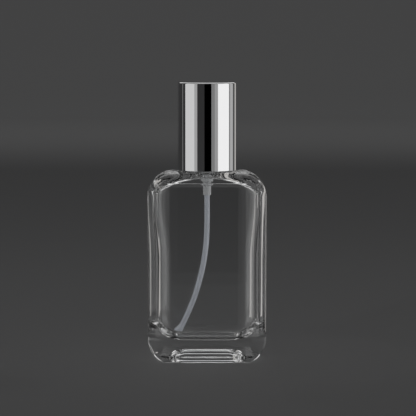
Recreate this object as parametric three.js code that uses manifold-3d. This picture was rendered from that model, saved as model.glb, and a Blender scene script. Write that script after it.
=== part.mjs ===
// A small clear glass atomiser bottle with a crimped fine-mist pump and a tall bright cap.
// Millimetres, +Z up. The origin is the centre of the base; the nozzle faces -Y.

import * as THREE from 'three';
import { mergeVertices } from 'three/addons/utils/BufferGeometryUtils.js';
import { ParametricGeometry } from 'three/addons/geometries/ParametricGeometry.js';
import Module from 'manifold-3d';

const wasm = await Module();
wasm.setup();

// ---- Driving dimensions ----

const SHOULDER_Z = 67.0; // flat top of the shoulder
const NECK_HEIGHT = 8.5; // crimp neck above the shoulder
const LIP_Z = SHOULDER_Z + NECK_HEIGHT; // the pump stack is measured from the glass lip

const CUT_CLEAR = 1.0; // how far a cutting core stands past the face it opens

// A rounded edge is given by how far it pulls in (inset) over what height (rise).
const BODY = {
  halfWidth: 21.3, // at the top of the straight side
  halfDepth: 13.5,
  cornerRadius: 11.9,
  taper: 0.35, // how much narrower each side is at the foot
  shoulderAcross: { inset: 9.5, rise: 9.5 },
  shoulderThrough: { inset: 4.5, rise: 4.5 },
  footAcross: { inset: 6.0, rise: 7.2 },
  footThrough: { inset: 2.0, rise: 2.2 },
  flatCorner: 1.0,
};

const CAVITY = {
  floorZ: 7.8,
  floorCrown: 0.3,
  floorCorner: 3.0,
  footAcross: { inset: 7.2, rise: 7.2 },
  footThrough: { inset: 3.4, rise: 3.4 },
  lowHalfWidth: 17.1,
  highHalfWidth: 18.0,
  lowCorner: 5.2,
  highCorner: 4.0,
  flareStartZ: 36.0, // the side walls thin out between these heights
  flareEndZ: 57.0,
  flareSteps: [36, 43, 50],
  halfDepth: 11.5,
  crownZ: 63.2,
  crownAcross: { inset: 4.2, rise: 4.4 },
  crownThrough: { inset: 0.25, rise: 1.6 },
  throatZ: 66.1,
};

// The cavity's roof rises from its sides to the throat: half-width, half-depth, corner, height.
const GABLE = [
  [13.7, 11.25, 3.8, 63.2],
  [9.4, 10.9, 5.2, 64.45],
  [5.9, 9.2, 5.7, 65.2],
  [4.55, 6.0, 4.5, 65.65],
];

const PUNT = {
  mouth: { halfWidth: 13.1, halfDepth: 8.8, corner: 4.6 },
  lip: { inset: 0.35, corner: 0.2, rise: 0.5 }, // the short draft just inside the mouth
  across: { inset: 3.9, rise: 4.0 },
  through: { inset: 2.4, rise: 2.8 },
  roofCorner: 2.6,
  rise: 4.6,
};

const NECK = { rootRadius: 6.6, beadRadius: 7.35, boreRadius: 4.3, beadHeight: 3.0, fillet: 0.8 };

const TUBE = { outerRadius: 0.96, innerRadius: 0.62 };

const STEM = { radius: 1.5, boreRadius: 0.7 };

const CHAMBER = { radius: 2.75, floorZ: LIP_Z - 9.9, topZ: LIP_Z + 4.5, wall: 0.85 };

const BALL = { radius: 1.2, centreZ: LIP_Z - 11.5 };

const RETURN_SPRING = { radius: 2.2, wire: 0.2, turns: 5, bottomZ: LIP_Z - 9.65, topZ: LIP_Z - 3.9 };

const PRELOAD_SPRING = { radius: 2.0, wire: 0.2, turns: 3, bottomZ: LIP_Z + 0.75, topZ: LIP_Z + 3.65 };

const FERRULE = { radius: 7.95, wall: 0.4, turretRadius: 4.45, topZ: LIP_Z + 7.3 };

const COLLAR = { radius: 8.6, wall: 0.45, topZ: LIP_Z + 3.6, lipRadius: 7.0, bottomZ: SHOULDER_Z + 0.3 };

const ACTUATOR = {
  radius: 6.0,
  sheathRadius: 6.45,
  bottomZ: LIP_Z + 8.3,
  topZ: LIP_Z + 19.3,
  nozzleZ: LIP_Z + 17.0,
};

const CAP = {
  radius: 10.4,
  wall: 0.45,
  bottomZ: SHOULDER_Z + 0.3,
  topZ: 98.5,
  edgeRadius: 0.55,
  linerRadius: 9.85,
  linerBore: 8.78,
};

// The dip tube's route in the XZ plane, from inside the nipple to the left of the cavity floor.
const TUBE_ROUTE = [
  [0, LIP_Z - 13.7],
  [0, 55.5],
  [0, 49.3],
  [-0.18, 43.1],
  [-0.6, 38.6],
  [-1.52, 33.0],
  [-2.84, 27.5],
  [-4.45, 22.2],
  [-6.4, 17.3],
  [-8.2, 13.4],
  [-9.8, 10.0],
];

const BODY_SIDES = 40; // facets round a rounded-rectangle section, a multiple of 20
const ROUND = 32; // facets round the large turned pieces
const FINE = 16; // facets round the small turned pieces

// ---- Materials ----

function material(color, roughness, metalness, opacity = 1) {
  return new THREE.MeshStandardMaterial({
    color,
    roughness,
    metalness,
    opacity,
    transparent: opacity < 1,
  });
}

const CLEAR_GLASS = material(0xf2f6f6, 0.02, 0, 0.3);
const BRIGHT_METAL = material(0xe6e6e8, 0.05, 1);
const FERRULE_METAL = material(0xc4c6c9, 0.3, 1);
const SPRING_STEEL = material(0xa9abae, 0.25, 1);
const WHITE_PLASTIC = material(0xf0f0ee, 0.4, 0);
const NATURAL_PLASTIC = material(0xd9dee2, 0.35, 0, 0.7);
const SEAL_RUBBER = material(0xdcdcd8, 0.7, 0);

// ---- Geometry helpers ----

// Leaves only merged positions and drops the collapsed triangles at poles.
function tidy(geometry) {
  geometry.deleteAttribute('normal');
  geometry.deleteAttribute('uv');
  const merged = mergeVertices(geometry, 1e-5);
  const index = merged.getIndex().array;
  const kept = [];
  for (let i = 0; i < index.length; i += 3) {
    const [a, b, c] = index.subarray(i, i + 3);
    if (a !== b && b !== c && c !== a) {
      kept.push(a, b, c);
    }
  }
  merged.setIndex(kept);
  return merged;
}

function toSolid(geometry) {
  const merged = tidy(geometry);
  return new wasm.Manifold(new wasm.Mesh({
    numProp: 3,
    vertProperties: new Float32Array(merged.getAttribute('position').array),
    triVerts: new Uint32Array(merged.getIndex().array),
  }));
}

function toGeometry(solid) {
  const mesh = solid.getMesh();
  const geometry = new THREE.BufferGeometry();
  geometry.setAttribute('position', new THREE.BufferAttribute(mesh.vertProperties, 3));
  geometry.setIndex(new THREE.BufferAttribute(mesh.triVerts, 1));
  return geometry;
}

// Turns a profile of [radius, z] about the Z axis. The profile runs anticlockwise: up the
// outside and down the inside. One that is clear of the axis is closed on itself.
function turned(profile, sides = FINE) {
  const points = profile.map(([radius, z]) => new THREE.Vector2(radius, z));
  if (profile[0][0] > 0) {
    points.push(points[0].clone());
  }
  return new THREE.LatheGeometry(points, sides).rotateX(Math.PI / 2);
}

// Points on a quarter round from angle `from` to `to`, in degrees, about [radius, z].
function arc(centreRadius, centreZ, radius, from, to, steps) {
  const points = [];
  for (let i = 0; i <= steps; i += 1) {
    const angle = THREE.MathUtils.degToRad(from + ((to - from) * i) / steps);
    points.push([centreRadius + radius * Math.cos(angle), centreZ + radius * Math.sin(angle)]);
  }
  return points;
}

// A point on a rounded rectangle, t from 0 to 1 round it from the middle of the +X side.
// Each quarter is 2 steps of straight side, 6 steps of corner and 2 steps of straight side.
function onRoundedRectangle(t, { halfWidth, halfDepth, corner }, target) {
  const quarter = Math.floor(t * 4) % 4;
  const within = t * 4 - Math.floor(t * 4);
  const mirrored = quarter % 2 === 1;
  const s = mirrored ? 1 - within : within;
  const flatX = halfWidth - corner;
  const flatY = halfDepth - corner;
  const turn = THREE.MathUtils.clamp((s - 0.2) / 0.6, 0, 1) * (Math.PI / 2);
  const alongY = Math.min(s / 0.2, 1);
  const alongX = Math.min((1 - s) / 0.2, 1);
  const x = flatX * alongX + corner * Math.cos(turn);
  const y = flatY * alongY + corner * Math.sin(turn);
  target.x = quarter === 1 || quarter === 2 ? -x : x;
  target.y = quarter >= 2 ? -y : y;
}

// Lofts rounded-rectangle sections, listed from the lowest up, into one closed solid.
function lofted(sections) {
  const closed = [
    { halfWidth: 0, halfDepth: 0, corner: 0, z: sections[0].z + (sections[0].crown ?? 0) },
    ...sections,
    { halfWidth: 0, halfDepth: 0, corner: 0, z: sections.at(-1).z },
  ];
  const stacks = closed.length - 1;
  const surface = (u, v, target) => {
    const section = closed[Math.round(v * stacks)];
    onRoundedRectangle(u, section, target);
    target.z = section.z;
  };
  return new ParametricGeometry(surface, BODY_SIDES, stacks);
}

// How far a rounded edge has pulled in, with a given height left before its flat.
function pullAt({ inset, rise }, left) {
  const share = Math.max(0, 1 - left / rise);
  return inset * (1 - Math.sqrt(1 - share * share));
}

// Sections of a rounded edge, from the upright side to the flat, listed from the lowest up.
function edgeSections(side, flatZ, across, through, flatCorner, steps) {
  const tallest = Math.max(across.rise, through.rise);
  const direction = Math.sign(flatZ - side.z);
  const sections = [];
  for (let i = 0; i <= steps; i += 1) {
    const left = tallest * (1 - Math.sin(((Math.PI / 2) * i) / steps));
    const pullX = pullAt(across, left);
    const pullY = pullAt(through, left);
    const share = Math.max(pullX / across.inset, pullY / through.inset);
    sections.push({
      halfWidth: side.halfWidth - pullX,
      halfDepth: side.halfDepth - pullY,
      corner: THREE.MathUtils.lerp(side.corner, flatCorner, share),
      z: flatZ - direction * left,
    });
  }
  return direction < 0 ? sections.reverse() : sections;
}

class Helix extends THREE.Curve {
  constructor({ radius, turns, bottomZ, topZ }) {
    super();
    Object.assign(this, { radius, turns, bottomZ, topZ });
  }

  getPoint(t, target = new THREE.Vector3()) {
    const angle = t * this.turns * Math.PI * 2;
    const z = this.bottomZ + (this.topZ - this.bottomZ) * t;
    return target.set(this.radius * Math.cos(angle), this.radius * Math.sin(angle), z);
  }
}

function ringShape(outerRadius, innerRadius, sides) {
  const circle = (radius) => {
    const points = [];
    for (let i = 0; i < sides; i += 1) {
      const angle = (i * Math.PI * 2) / sides;
      points.push(new THREE.Vector2(radius * Math.cos(angle), radius * Math.sin(angle)));
    }
    return points;
  };
  const shape = new THREE.Shape(circle(outerRadius));
  if (innerRadius > 0) {
    shape.holes.push(new THREE.Path(circle(innerRadius)));
  }
  return shape;
}

function swept(shape, path, steps) {
  return new THREE.ExtrudeGeometry(shape, { steps, bevelEnabled: false, extrudePath: path });
}

// A cylinder along Y, from one y to another, at a given height.
function cylinderAlongY(radius, fromY, toY, z) {
  const geometry = new THREE.CylinderGeometry(radius, radius, toY - fromY, FINE);
  return geometry.translate(0, (fromY + toY) / 2, z);
}

// ---- Glass ----

function bodyOutside() {
  const foot = {
    halfWidth: BODY.halfWidth - BODY.taper,
    halfDepth: BODY.halfDepth - BODY.taper,
    corner: BODY.cornerRadius - BODY.taper,
    z: BODY.footAcross.rise,
  };
  const top = {
    halfWidth: BODY.halfWidth,
    halfDepth: BODY.halfDepth,
    corner: BODY.cornerRadius,
    z: SHOULDER_Z - BODY.shoulderAcross.rise,
  };
  return lofted([
    ...edgeSections(foot, 0, BODY.footAcross, BODY.footThrough, BODY.flatCorner, 6),
    ...edgeSections(top, SHOULDER_Z, BODY.shoulderAcross, BODY.shoulderThrough, BODY.flatCorner, 8),
  ]);
}

// The cavity's section at height z: parallel below, then flaring to the shoulder.
function cavitySection(z) {
  const t = THREE.MathUtils.smoothstep(z, CAVITY.flareStartZ, CAVITY.flareEndZ);
  return {
    halfWidth: THREE.MathUtils.lerp(CAVITY.lowHalfWidth, CAVITY.highHalfWidth, t),
    halfDepth: CAVITY.halfDepth,
    corner: THREE.MathUtils.lerp(CAVITY.lowCorner, CAVITY.highCorner, t),
    z,
  };
}

// The cavity, the throat and the neck bore are one core, as the blowing mould leaves them.
function cavityCore() {
  const { floorZ, footAcross, footThrough, floorCorner, crownZ, crownAcross, crownThrough } = CAVITY;
  const low = cavitySection(floorZ + footAcross.rise);
  const foot = edgeSections(low, floorZ, footAcross, footThrough, floorCorner, 6);
  foot[0].crown = CAVITY.floorCrown;
  const side = CAVITY.flareSteps.map(cavitySection);
  const high = cavitySection(crownZ - crownAcross.rise);
  const crown = edgeSections(high, crownZ, crownAcross, crownThrough, GABLE[0][2], 5);
  const roof = GABLE.slice(1).map(([halfWidth, halfDepth, corner, z]) => ({ halfWidth, halfDepth, corner, z }));
  const bore = { halfWidth: NECK.boreRadius, halfDepth: NECK.boreRadius, corner: NECK.boreRadius };
  const throat = [CAVITY.throatZ, LIP_Z + CUT_CLEAR].map((z) => ({ ...bore, z }));
  return lofted([...foot, ...side, ...crown, ...roof, ...throat]);
}

function neckOutside() {
  const { rootRadius, beadRadius, beadHeight, fillet } = NECK;
  const beadTopZ = LIP_Z - 0.5;
  const beadBottomZ = beadTopZ - beadHeight;
  return turned([
    [0, SHOULDER_Z - 1],
    [rootRadius + fillet, SHOULDER_Z - 1],
    ...arc(rootRadius + fillet, SHOULDER_Z + fillet, fillet, 270, 180, 3),
    [rootRadius, beadBottomZ - 0.4],
    [beadRadius, beadBottomZ],
    [beadRadius, beadTopZ],
    ...arc(beadRadius - 0.5, LIP_Z - 0.5, 0.5, 0, 90, 3).slice(1),
    [0, LIP_Z],
  ], ROUND);
}

function puntCore() {
  const below = { ...PUNT.mouth, z: -CUT_CLEAR };
  const mouth = { ...PUNT.mouth, z: 0 };
  const wall = {
    halfWidth: PUNT.mouth.halfWidth - PUNT.lip.inset,
    halfDepth: PUNT.mouth.halfDepth - PUNT.lip.inset,
    corner: PUNT.mouth.corner - PUNT.lip.corner,
    z: PUNT.lip.rise,
  };
  const dome = edgeSections(wall, PUNT.rise, PUNT.across, PUNT.through, PUNT.roofCorner, 4);
  return lofted([below, mouth, ...dome]);
}

function glassBottle() {
  return toGeometry(
    toSolid(bodyOutside())
      .add(toSolid(neckOutside()))
      .subtract(toSolid(cavityCore()))
      .subtract(toSolid(puntCore())),
  );
}

// ---- Pump, from the glass lip down and up ----

function neckGasket() {
  return turned([[6.9, LIP_Z + 0.06], [6.9, LIP_Z + 1.0], [4.7, LIP_Z + 1.0], [4.7, LIP_Z + 0.06]]);
}

function pumpHousing() {
  const outer = CHAMBER.radius + CHAMBER.wall;
  const ballBore = BALL.radius + 0.3;
  const nippleBore = TUBE.outerRadius + 0.09;
  return turned([
    [1.45, LIP_Z - 17.0],
    [1.45, LIP_Z - 13.4],
    [1.9, LIP_Z - 13.3],
    [2.2, LIP_Z - 13.0],
    [2.2, LIP_Z - 11.6],
    [2.55, LIP_Z - 11.3],
    [2.55, LIP_Z - 9.7],
    [outer, LIP_Z - 9.0],
    [outer, LIP_Z + 1.06],
    [7.3, LIP_Z + 1.06],
    [7.3, LIP_Z + 2.2],
    [outer, LIP_Z + 2.2],
    [outer, CHAMBER.topZ],
    [CHAMBER.radius, CHAMBER.topZ],
    [CHAMBER.radius, CHAMBER.floorZ],
    [ballBore, CHAMBER.floorZ],
    [ballBore, LIP_Z - 11.8],
    [0.6, LIP_Z - 12.6],
    [0.6, LIP_Z - 13.2],
    [nippleBore, LIP_Z - 13.4],
    [nippleBore, LIP_Z - 17.0],
  ]);
}

function inletBall() {
  return new THREE.SphereGeometry(BALL.radius, 12, 8).rotateX(Math.PI / 2).translate(0, 0, BALL.centreZ);
}

function coilSpring(spring) {
  const stepsPerTurn = 10;
  return swept(ringShape(spring.wire, 0, 6), new Helix(spring), spring.turns * stepsPerTurn);
}

function valveSpool() {
  return turned([
    [0, LIP_Z - 4.8],
    [1.3, LIP_Z - 4.8],
    [1.4, LIP_Z - 4.5],
    [1.4, LIP_Z - 3.6],
    [2.1, LIP_Z - 3.6],
    [2.1, LIP_Z - 2.9],
    [0.6, LIP_Z - 2.7],
    [0.6, LIP_Z + 1.0],
    [0, LIP_Z + 1.1],
  ]);
}

function piston() {
  const lip = CHAMBER.radius - 0.07;
  const bore = STEM.radius + 0.06;
  return turned([
    [2.2, LIP_Z - 2.5],
    [lip, LIP_Z - 2.7],
    [lip, LIP_Z - 2.1],
    [2.35, LIP_Z - 1.6],
    [2.35, LIP_Z - 0.4],
    [lip, LIP_Z + 0.1],
    [lip, LIP_Z + 0.5],
    [bore, LIP_Z + 0.5],
    [bore, LIP_Z - 2.5],
  ]);
}

function stem() {
  const flangeZ = CHAMBER.topZ - 0.7;
  return turned([
    [STEM.radius, LIP_Z - 1.6],
    [STEM.radius, flangeZ],
    [2.2, flangeZ],
    [2.2, flangeZ + 0.6],
    [STEM.radius, flangeZ + 0.6],
    [STEM.radius, LIP_Z + 15.2],
    [STEM.boreRadius, LIP_Z + 15.2],
    [STEM.boreRadius, LIP_Z - 1.6],
  ]);
}

function stemSeal() {
  const bore = STEM.radius + 0.06;
  return turned([[3.85, LIP_Z + 4.6], [3.85, LIP_Z + 5.2], [bore, LIP_Z + 5.2], [bore, LIP_Z + 4.6]]);
}

function stemGuide() {
  const bore = STEM.radius + 0.08;
  return turned([
    [3.85, LIP_Z + 5.3],
    [3.85, LIP_Z + 6.4],
    [3.55, LIP_Z + 6.8],
    [bore, LIP_Z + 6.8],
    [bore, LIP_Z + 5.3],
  ]);
}

function crimpFerrule() {
  const { radius, wall, turretRadius, topZ } = FERRULE;
  const deckZ = LIP_Z + 2.7;
  const hole = 2.4;
  return turned([
    [6.95, LIP_Z - 4.5],
    [7.35, LIP_Z - 4.6],
    [radius, LIP_Z - 3.6],
    [radius, deckZ - 0.5],
    [radius - 0.5, deckZ],
    [turretRadius, deckZ],
    [turretRadius, topZ - 0.3],
    [turretRadius - 0.3, topZ],
    [hole, topZ],
    [hole, topZ - wall],
    [turretRadius - wall, topZ - wall],
    [turretRadius - wall, deckZ - wall],
    [radius - wall, deckZ - wall],
    [radius - wall, LIP_Z - 3.4],
    [6.95, LIP_Z - 4.1],
  ], ROUND);
}

function collar() {
  const { radius, wall, topZ, lipRadius, bottomZ } = COLLAR;
  const edge = 0.5;
  return turned([
    [radius, bottomZ],
    ...arc(radius - edge, topZ - edge, edge, 0, 90, 3),
    [lipRadius, topZ],
    [lipRadius, topZ - wall],
    [radius - wall, topZ - wall],
    [radius - wall, bottomZ],
  ], ROUND);
}

function dipTube() {
  const points = TUBE_ROUTE.map(([x, z]) => new THREE.Vector3(x, 0, z));
  const route = new THREE.CatmullRomCurve3(points);
  return swept(ringShape(TUBE.outerRadius, TUBE.innerRadius, 8), route, 30);
}

// ---- Button ----

function actuator() {
  const { radius, bottomZ, topZ, nozzleZ } = ACTUATOR;
  const socket = STEM.radius + 0.05;
  const post = 2.6;
  const skirt = 5.2;
  const feed = 0.6;
  const roofZ = LIP_Z + 15.5;
  const body = turned([
    [0, nozzleZ + 0.4],
    [feed, nozzleZ + 0.4],
    [feed, LIP_Z + 15.3],
    [socket, LIP_Z + 15.3],
    [socket, LIP_Z + 11.7],
    [post, LIP_Z + 11.7],
    [post, roofZ],
    [skirt, roofZ],
    [skirt, bottomZ],
    [radius, bottomZ],
    [radius, topZ],
    [0, topZ],
  ], ROUND);
  return toGeometry(
    toSolid(body)
      .subtract(toSolid(cylinderAlongY(1.9, -radius - 1, -3.4, nozzleZ)))
      .subtract(toSolid(cylinderAlongY(0.45, -3.6, 0, nozzleZ))),
  );
}

function actuatorSheath() {
  const { radius, sheathRadius, bottomZ, topZ, nozzleZ } = ACTUATOR;
  const bore = radius + 0.08;
  const edge = 0.4;
  const roofZ = topZ + 0.1;
  const skin = turned([
    [bore, bottomZ],
    [sheathRadius, bottomZ],
    ...arc(sheathRadius - edge, roofZ + 0.37 - edge, edge, 0, 90, 3),
    [0, roofZ + 0.37],
    [0, roofZ],
    [bore, roofZ],
    [bore, bottomZ],
  ].slice(0, -1), ROUND);
  return toGeometry(toSolid(skin).subtract(toSolid(cylinderAlongY(2.15, -radius - 2, -3.4, nozzleZ))));
}

function nozzleInsert() {
  const length = 2.3;
  const front = -ACTUATOR.radius - 0.1;
  return turned([
    [1.8, 0],
    [1.8, length - 0.2],
    [1.6, length],
    [0.35, length],
    [0.15, length - 0.2],
    [0.15, length - 0.6],
    [1.2, length - 0.6],
    [1.2, 0],
  ], FINE).rotateX(Math.PI / 2).translate(0, front + length, ACTUATOR.nozzleZ);
}

// ---- Cap ----

function capShell() {
  const { radius, wall, bottomZ, topZ, edgeRadius } = CAP;
  return turned([
    [0, topZ - wall],
    [radius - wall, topZ - wall],
    [radius - wall, bottomZ],
    [radius, bottomZ],
    ...arc(radius - edgeRadius, topZ - edgeRadius, edgeRadius, 0, 90, 4),
    [0, topZ],
  ], ROUND);
}

function capLiner() {
  const { linerRadius, linerBore, bottomZ, topZ, wall } = CAP;
  const roofZ = topZ - wall - 0.2;
  const gripZ = COLLAR.topZ - 4;
  return turned([
    [0, roofZ - 1.2],
    [linerBore, roofZ - 1.2],
    [linerBore, gripZ + 0.8],
    [COLLAR.radius + 0.06, gripZ + 0.4],
    [COLLAR.radius + 0.06, gripZ - 0.4],
    [linerBore, gripZ - 0.8],
    [linerBore, bottomZ + 0.9],
    [linerBore + 0.4, bottomZ + 0.4],
    [linerRadius, bottomZ + 0.4],
    [linerRadius, roofZ],
    [0, roofZ],
  ], ROUND);
}

// ---- Assembly ----

const bottle = new THREE.Group();

function add(name, geometry, finish) {
  const mesh = new THREE.Mesh(geometry, finish.clone());
  mesh.name = name;
  bottle.add(mesh);
}

add('glass_bottle', glassBottle(), CLEAR_GLASS);
add('neck_gasket', neckGasket(), SEAL_RUBBER);
add('pump_housing', pumpHousing(), NATURAL_PLASTIC);
add('inlet_ball', inletBall(), SPRING_STEEL);
add('return_spring', coilSpring(RETURN_SPRING), SPRING_STEEL);
add('valve_spool', valveSpool(), WHITE_PLASTIC);
add('piston', piston(), NATURAL_PLASTIC);
add('precompression_spring', coilSpring(PRELOAD_SPRING), SPRING_STEEL);
add('stem', stem(), WHITE_PLASTIC);
add('stem_seal', stemSeal(), SEAL_RUBBER);
add('stem_guide', stemGuide(), WHITE_PLASTIC);
add('crimp_ferrule', crimpFerrule(), FERRULE_METAL);
add('collar', collar(), BRIGHT_METAL);
add('dip_tube', dipTube(), NATURAL_PLASTIC);
add('actuator', actuator(), WHITE_PLASTIC);
add('actuator_sheath', actuatorSheath(), BRIGHT_METAL);
add('nozzle_insert', nozzleInsert(), WHITE_PLASTIC);
add('cap_shell', capShell(), BRIGHT_METAL);
add('cap_liner', capLiner(), WHITE_PLASTIC);

export default bottle;
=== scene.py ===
"""The looks of a small clear glass atomiser bottle: glass, crimped pump, button and bright cap.

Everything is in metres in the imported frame: +Z up, the origin at the centre of the base, the
nozzle towards -Y. Sizes in the classes below are millimetres, and MM turns them into metres.
"""

import logging
import math
from dataclasses import dataclass
from enum import Enum
from typing import Sequence

import bmesh
import bpy
from mathutils import Matrix, Vector


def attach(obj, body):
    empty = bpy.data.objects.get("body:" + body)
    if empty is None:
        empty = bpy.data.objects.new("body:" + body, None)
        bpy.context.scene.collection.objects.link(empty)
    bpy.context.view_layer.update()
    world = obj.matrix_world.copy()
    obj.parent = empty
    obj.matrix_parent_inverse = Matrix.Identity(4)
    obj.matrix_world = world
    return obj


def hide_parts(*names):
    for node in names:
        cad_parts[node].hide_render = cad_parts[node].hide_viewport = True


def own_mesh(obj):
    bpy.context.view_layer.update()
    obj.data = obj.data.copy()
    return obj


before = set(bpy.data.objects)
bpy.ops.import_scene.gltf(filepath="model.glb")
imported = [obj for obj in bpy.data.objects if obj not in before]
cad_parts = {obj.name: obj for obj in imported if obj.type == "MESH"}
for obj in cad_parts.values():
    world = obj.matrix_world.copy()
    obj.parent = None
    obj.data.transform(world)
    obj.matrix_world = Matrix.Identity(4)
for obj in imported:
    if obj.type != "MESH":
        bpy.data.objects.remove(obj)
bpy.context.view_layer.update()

MM = 0.001
FULL_TURN = 2 * math.pi
LOG = logging.getLogger("bottle")
Socket = bpy.types.NodeSocket


class Body(Enum):
    """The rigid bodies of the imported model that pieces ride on."""

    BOTTLE = "bottle"
    CAP = "cap"
    STEM = "pump_stem"
    PISTON = "pump_piston"
    BUTTON = "button"
    BALL = "check_ball"


class Slot(Enum):
    """The record's material slots."""

    GLASS = "clear_glass"
    BRIGHT = "bright_metal"
    FERRULE = "ferrule_aluminium"
    STEEL = "spring_steel"
    WHITE = "white_plastic"
    NATURAL = "natural_plastic"
    TUBE = "tube_plastic"
    SEAL = "seal"


# ---------------------------------------------------------------- finishes


class Recipe:
    """One material's node tree, with short ways to add, set and join its nodes."""

    def __init__(self, name: str) -> None:
        """Starts a material from a plain Principled shader."""
        self.material = bpy.data.materials.new(name)
        self.material.use_nodes = True
        self.tree = self.material.node_tree
        self.shader = self.tree.nodes["Principled BSDF"]

    def set(self, **values: object) -> None:
        """Sets the shader's own sockets; an underscore stands for a space."""
        for key, value in values.items():
            self.shader.inputs[key.replace("_", " ")].default_value = value

    def place(
        self, scale: Sequence[float] = (1, 1, 1), at: Sequence[float] = (0, 0, 0)
    ) -> Socket:
        """Object coordinates, moved to start at a point and stretched.

        Args:
            scale: how dense a pattern is along each axis.
            at: the point in metres that the pattern is centred on.

        Returns:
            The socket that holds the coordinates.
        """
        coordinates = self.tree.nodes.new("ShaderNodeTexCoord")
        mapping = self.tree.nodes.new("ShaderNodeMapping")
        mapping.inputs["Scale"].default_value = scale
        mapping.inputs["Location"].default_value = [-a * s for a, s in zip(at, scale)]
        self.tree.links.new(coordinates.outputs["Object"], mapping.inputs["Vector"])
        return mapping.outputs["Vector"]

    def noise(
        self, vector: Socket, scale: float, detail: float = 4.0, roughness: float = 0.5
    ) -> Socket:
        """A noise pattern's value.

        Args:
            vector: the socket with the coordinates.
            scale: how many features there are to a metre.
            detail: how many finer layers it has.
            roughness: how strong the finer layers are.

        Returns:
            The socket that holds the value.
        """
        node = self.tree.nodes.new("ShaderNodeTexNoise")
        node.inputs["Scale"].default_value = scale
        node.inputs["Detail"].default_value = detail
        node.inputs["Roughness"].default_value = roughness
        self.tree.links.new(vector, node.inputs["Vector"])
        return node.outputs["Fac"]

    def spread(
        self, value: Socket, low: float, high: float, start: float = 0.3, end: float = 0.7
    ) -> Socket:
        """Maps a value's range from start to end onto low to high.

        Args:
            value: the socket with the value.
            low: what start gives.
            high: what end gives.
            start: the lower end of the value's range.
            end: the upper end of the value's range.

        Returns:
            The socket that holds the mapped value.
        """
        node = self.tree.nodes.new("ShaderNodeMapRange")
        node.interpolation_type = "SMOOTHSTEP"
        for key, number in zip(("From Min", "From Max", "To Min", "To Max"), (start, end, low, high)):
            node.inputs[key].default_value = number
        self.tree.links.new(value, node.inputs["Value"])
        return node.outputs["Result"]

    def tint(self, factor: Socket, dark: Sequence[float], light: Sequence[float]) -> Socket:
        """A colour between two, by a factor from 0 to 1.

        Args:
            factor: the socket with the factor.
            dark: the colour at 0.
            light: the colour at 1.

        Returns:
            The socket that holds the colour.
        """
        ramp = self.tree.nodes.new("ShaderNodeValToRGB")
        ramp.color_ramp.elements[0].color = (*dark, 1)
        ramp.color_ramp.elements[1].color = (*light, 1)
        self.tree.links.new(factor, ramp.inputs["Fac"])
        return ramp.outputs["Color"]

    def feed(self, socket: Socket, key: str) -> None:
        """Joins a socket to one of the shader's inputs."""
        self.tree.links.new(socket, self.shader.inputs[key])

    def relief(self, height: Socket, depth: float, strength: float = 1.0) -> None:
        """Raises fine relief on the surface.

        Args:
            height: the socket with the height, from 0 to 1.
            depth: how high 1 stands, in metres.
            strength: how much of it shows.
        """
        bump = self.tree.nodes.new("ShaderNodeBump")
        bump.inputs["Distance"].default_value = depth
        bump.inputs["Strength"].default_value = strength
        self.tree.links.new(height, bump.inputs["Height"])
        self.feed(bump.outputs["Normal"], "Normal")


@dataclass(frozen=True)
class ClearGlass:
    """Clear flint glass with the faint waviness that fire polishing leaves."""

    index: float = 1.52
    wave_scale: float = 90.0
    wave_depth: float = 0.000004

    def build(self) -> bpy.types.Material:
        """Returns the material."""
        recipe = Recipe("clear_flint_glass")
        recipe.set(Transmission_Weight=1.0, IOR=self.index)
        place = recipe.place()
        haze = recipe.noise(place, 260.0, 5.0)
        recipe.feed(recipe.spread(haze, 0.0, 0.012, 0.45, 0.75), "Roughness")
        recipe.feed(recipe.tint(haze, (0.985, 0.99, 0.99), (0.998, 1.0, 1.0)), "Base Color")
        recipe.relief(recipe.noise(place, self.wave_scale, 1.0), self.wave_depth)
        return recipe.material


@dataclass(frozen=True)
class BrightMetal:
    """Mirror-bright metal with the last traces of polishing round it."""

    name: str = "mirror_bright_metal"
    colour: tuple[float, float, float] = (0.90, 0.90, 0.905)
    smooth: float = 0.02
    hazy: float = 0.05

    def build(self) -> bpy.types.Material:
        """Returns the material."""
        recipe = Recipe(self.name)
        recipe.set(Metallic=1.0)
        around = recipe.place((60.0, 60.0, 2600.0))
        smudges = recipe.noise(recipe.place(), 120.0, 4.0, 0.6)
        polish = recipe.noise(around, 1.0, 3.0)
        recipe.feed(recipe.spread(smudges, self.smooth, self.hazy, 0.4, 0.8), "Roughness")
        dull = tuple(c * 0.97 for c in self.colour)
        recipe.feed(recipe.tint(smudges, dull, self.colour), "Base Color")
        recipe.relief(polish, 0.0000008, 0.25)
        return recipe.material


@dataclass(frozen=True)
class SatinAluminium:
    """Drawn aluminium sheet with fine lines round it from the press."""

    colour: tuple[float, float, float] = (0.78, 0.785, 0.79)

    def build(self) -> bpy.types.Material:
        """Returns the material."""
        recipe = Recipe("drawn_aluminium")
        recipe.set(Metallic=1.0)
        lines = recipe.noise(recipe.place((40.0, 40.0, 5200.0)), 1.0, 4.0)
        patches = recipe.noise(recipe.place(), 300.0, 3.0)
        recipe.feed(recipe.spread(lines, 0.22, 0.38), "Roughness")
        darker = tuple(c * 0.9 for c in self.colour)
        recipe.feed(recipe.tint(patches, darker, self.colour), "Base Color")
        recipe.relief(lines, 0.000004, 0.5)
        return recipe.material


@dataclass(frozen=True)
class DrawnSteel:
    """Bright stainless wire and the polished ball."""

    def build(self) -> bpy.types.Material:
        """Returns the material."""
        recipe = Recipe("bright_steel")
        recipe.set(Metallic=1.0)
        grain = recipe.noise(recipe.place(), 4200.0, 3.0)
        recipe.feed(recipe.spread(grain, 0.14, 0.3), "Roughness")
        recipe.feed(recipe.tint(grain, (0.56, 0.56, 0.57), (0.68, 0.68, 0.69)), "Base Color")
        recipe.relief(grain, 0.000003, 0.4)
        return recipe.material


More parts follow.
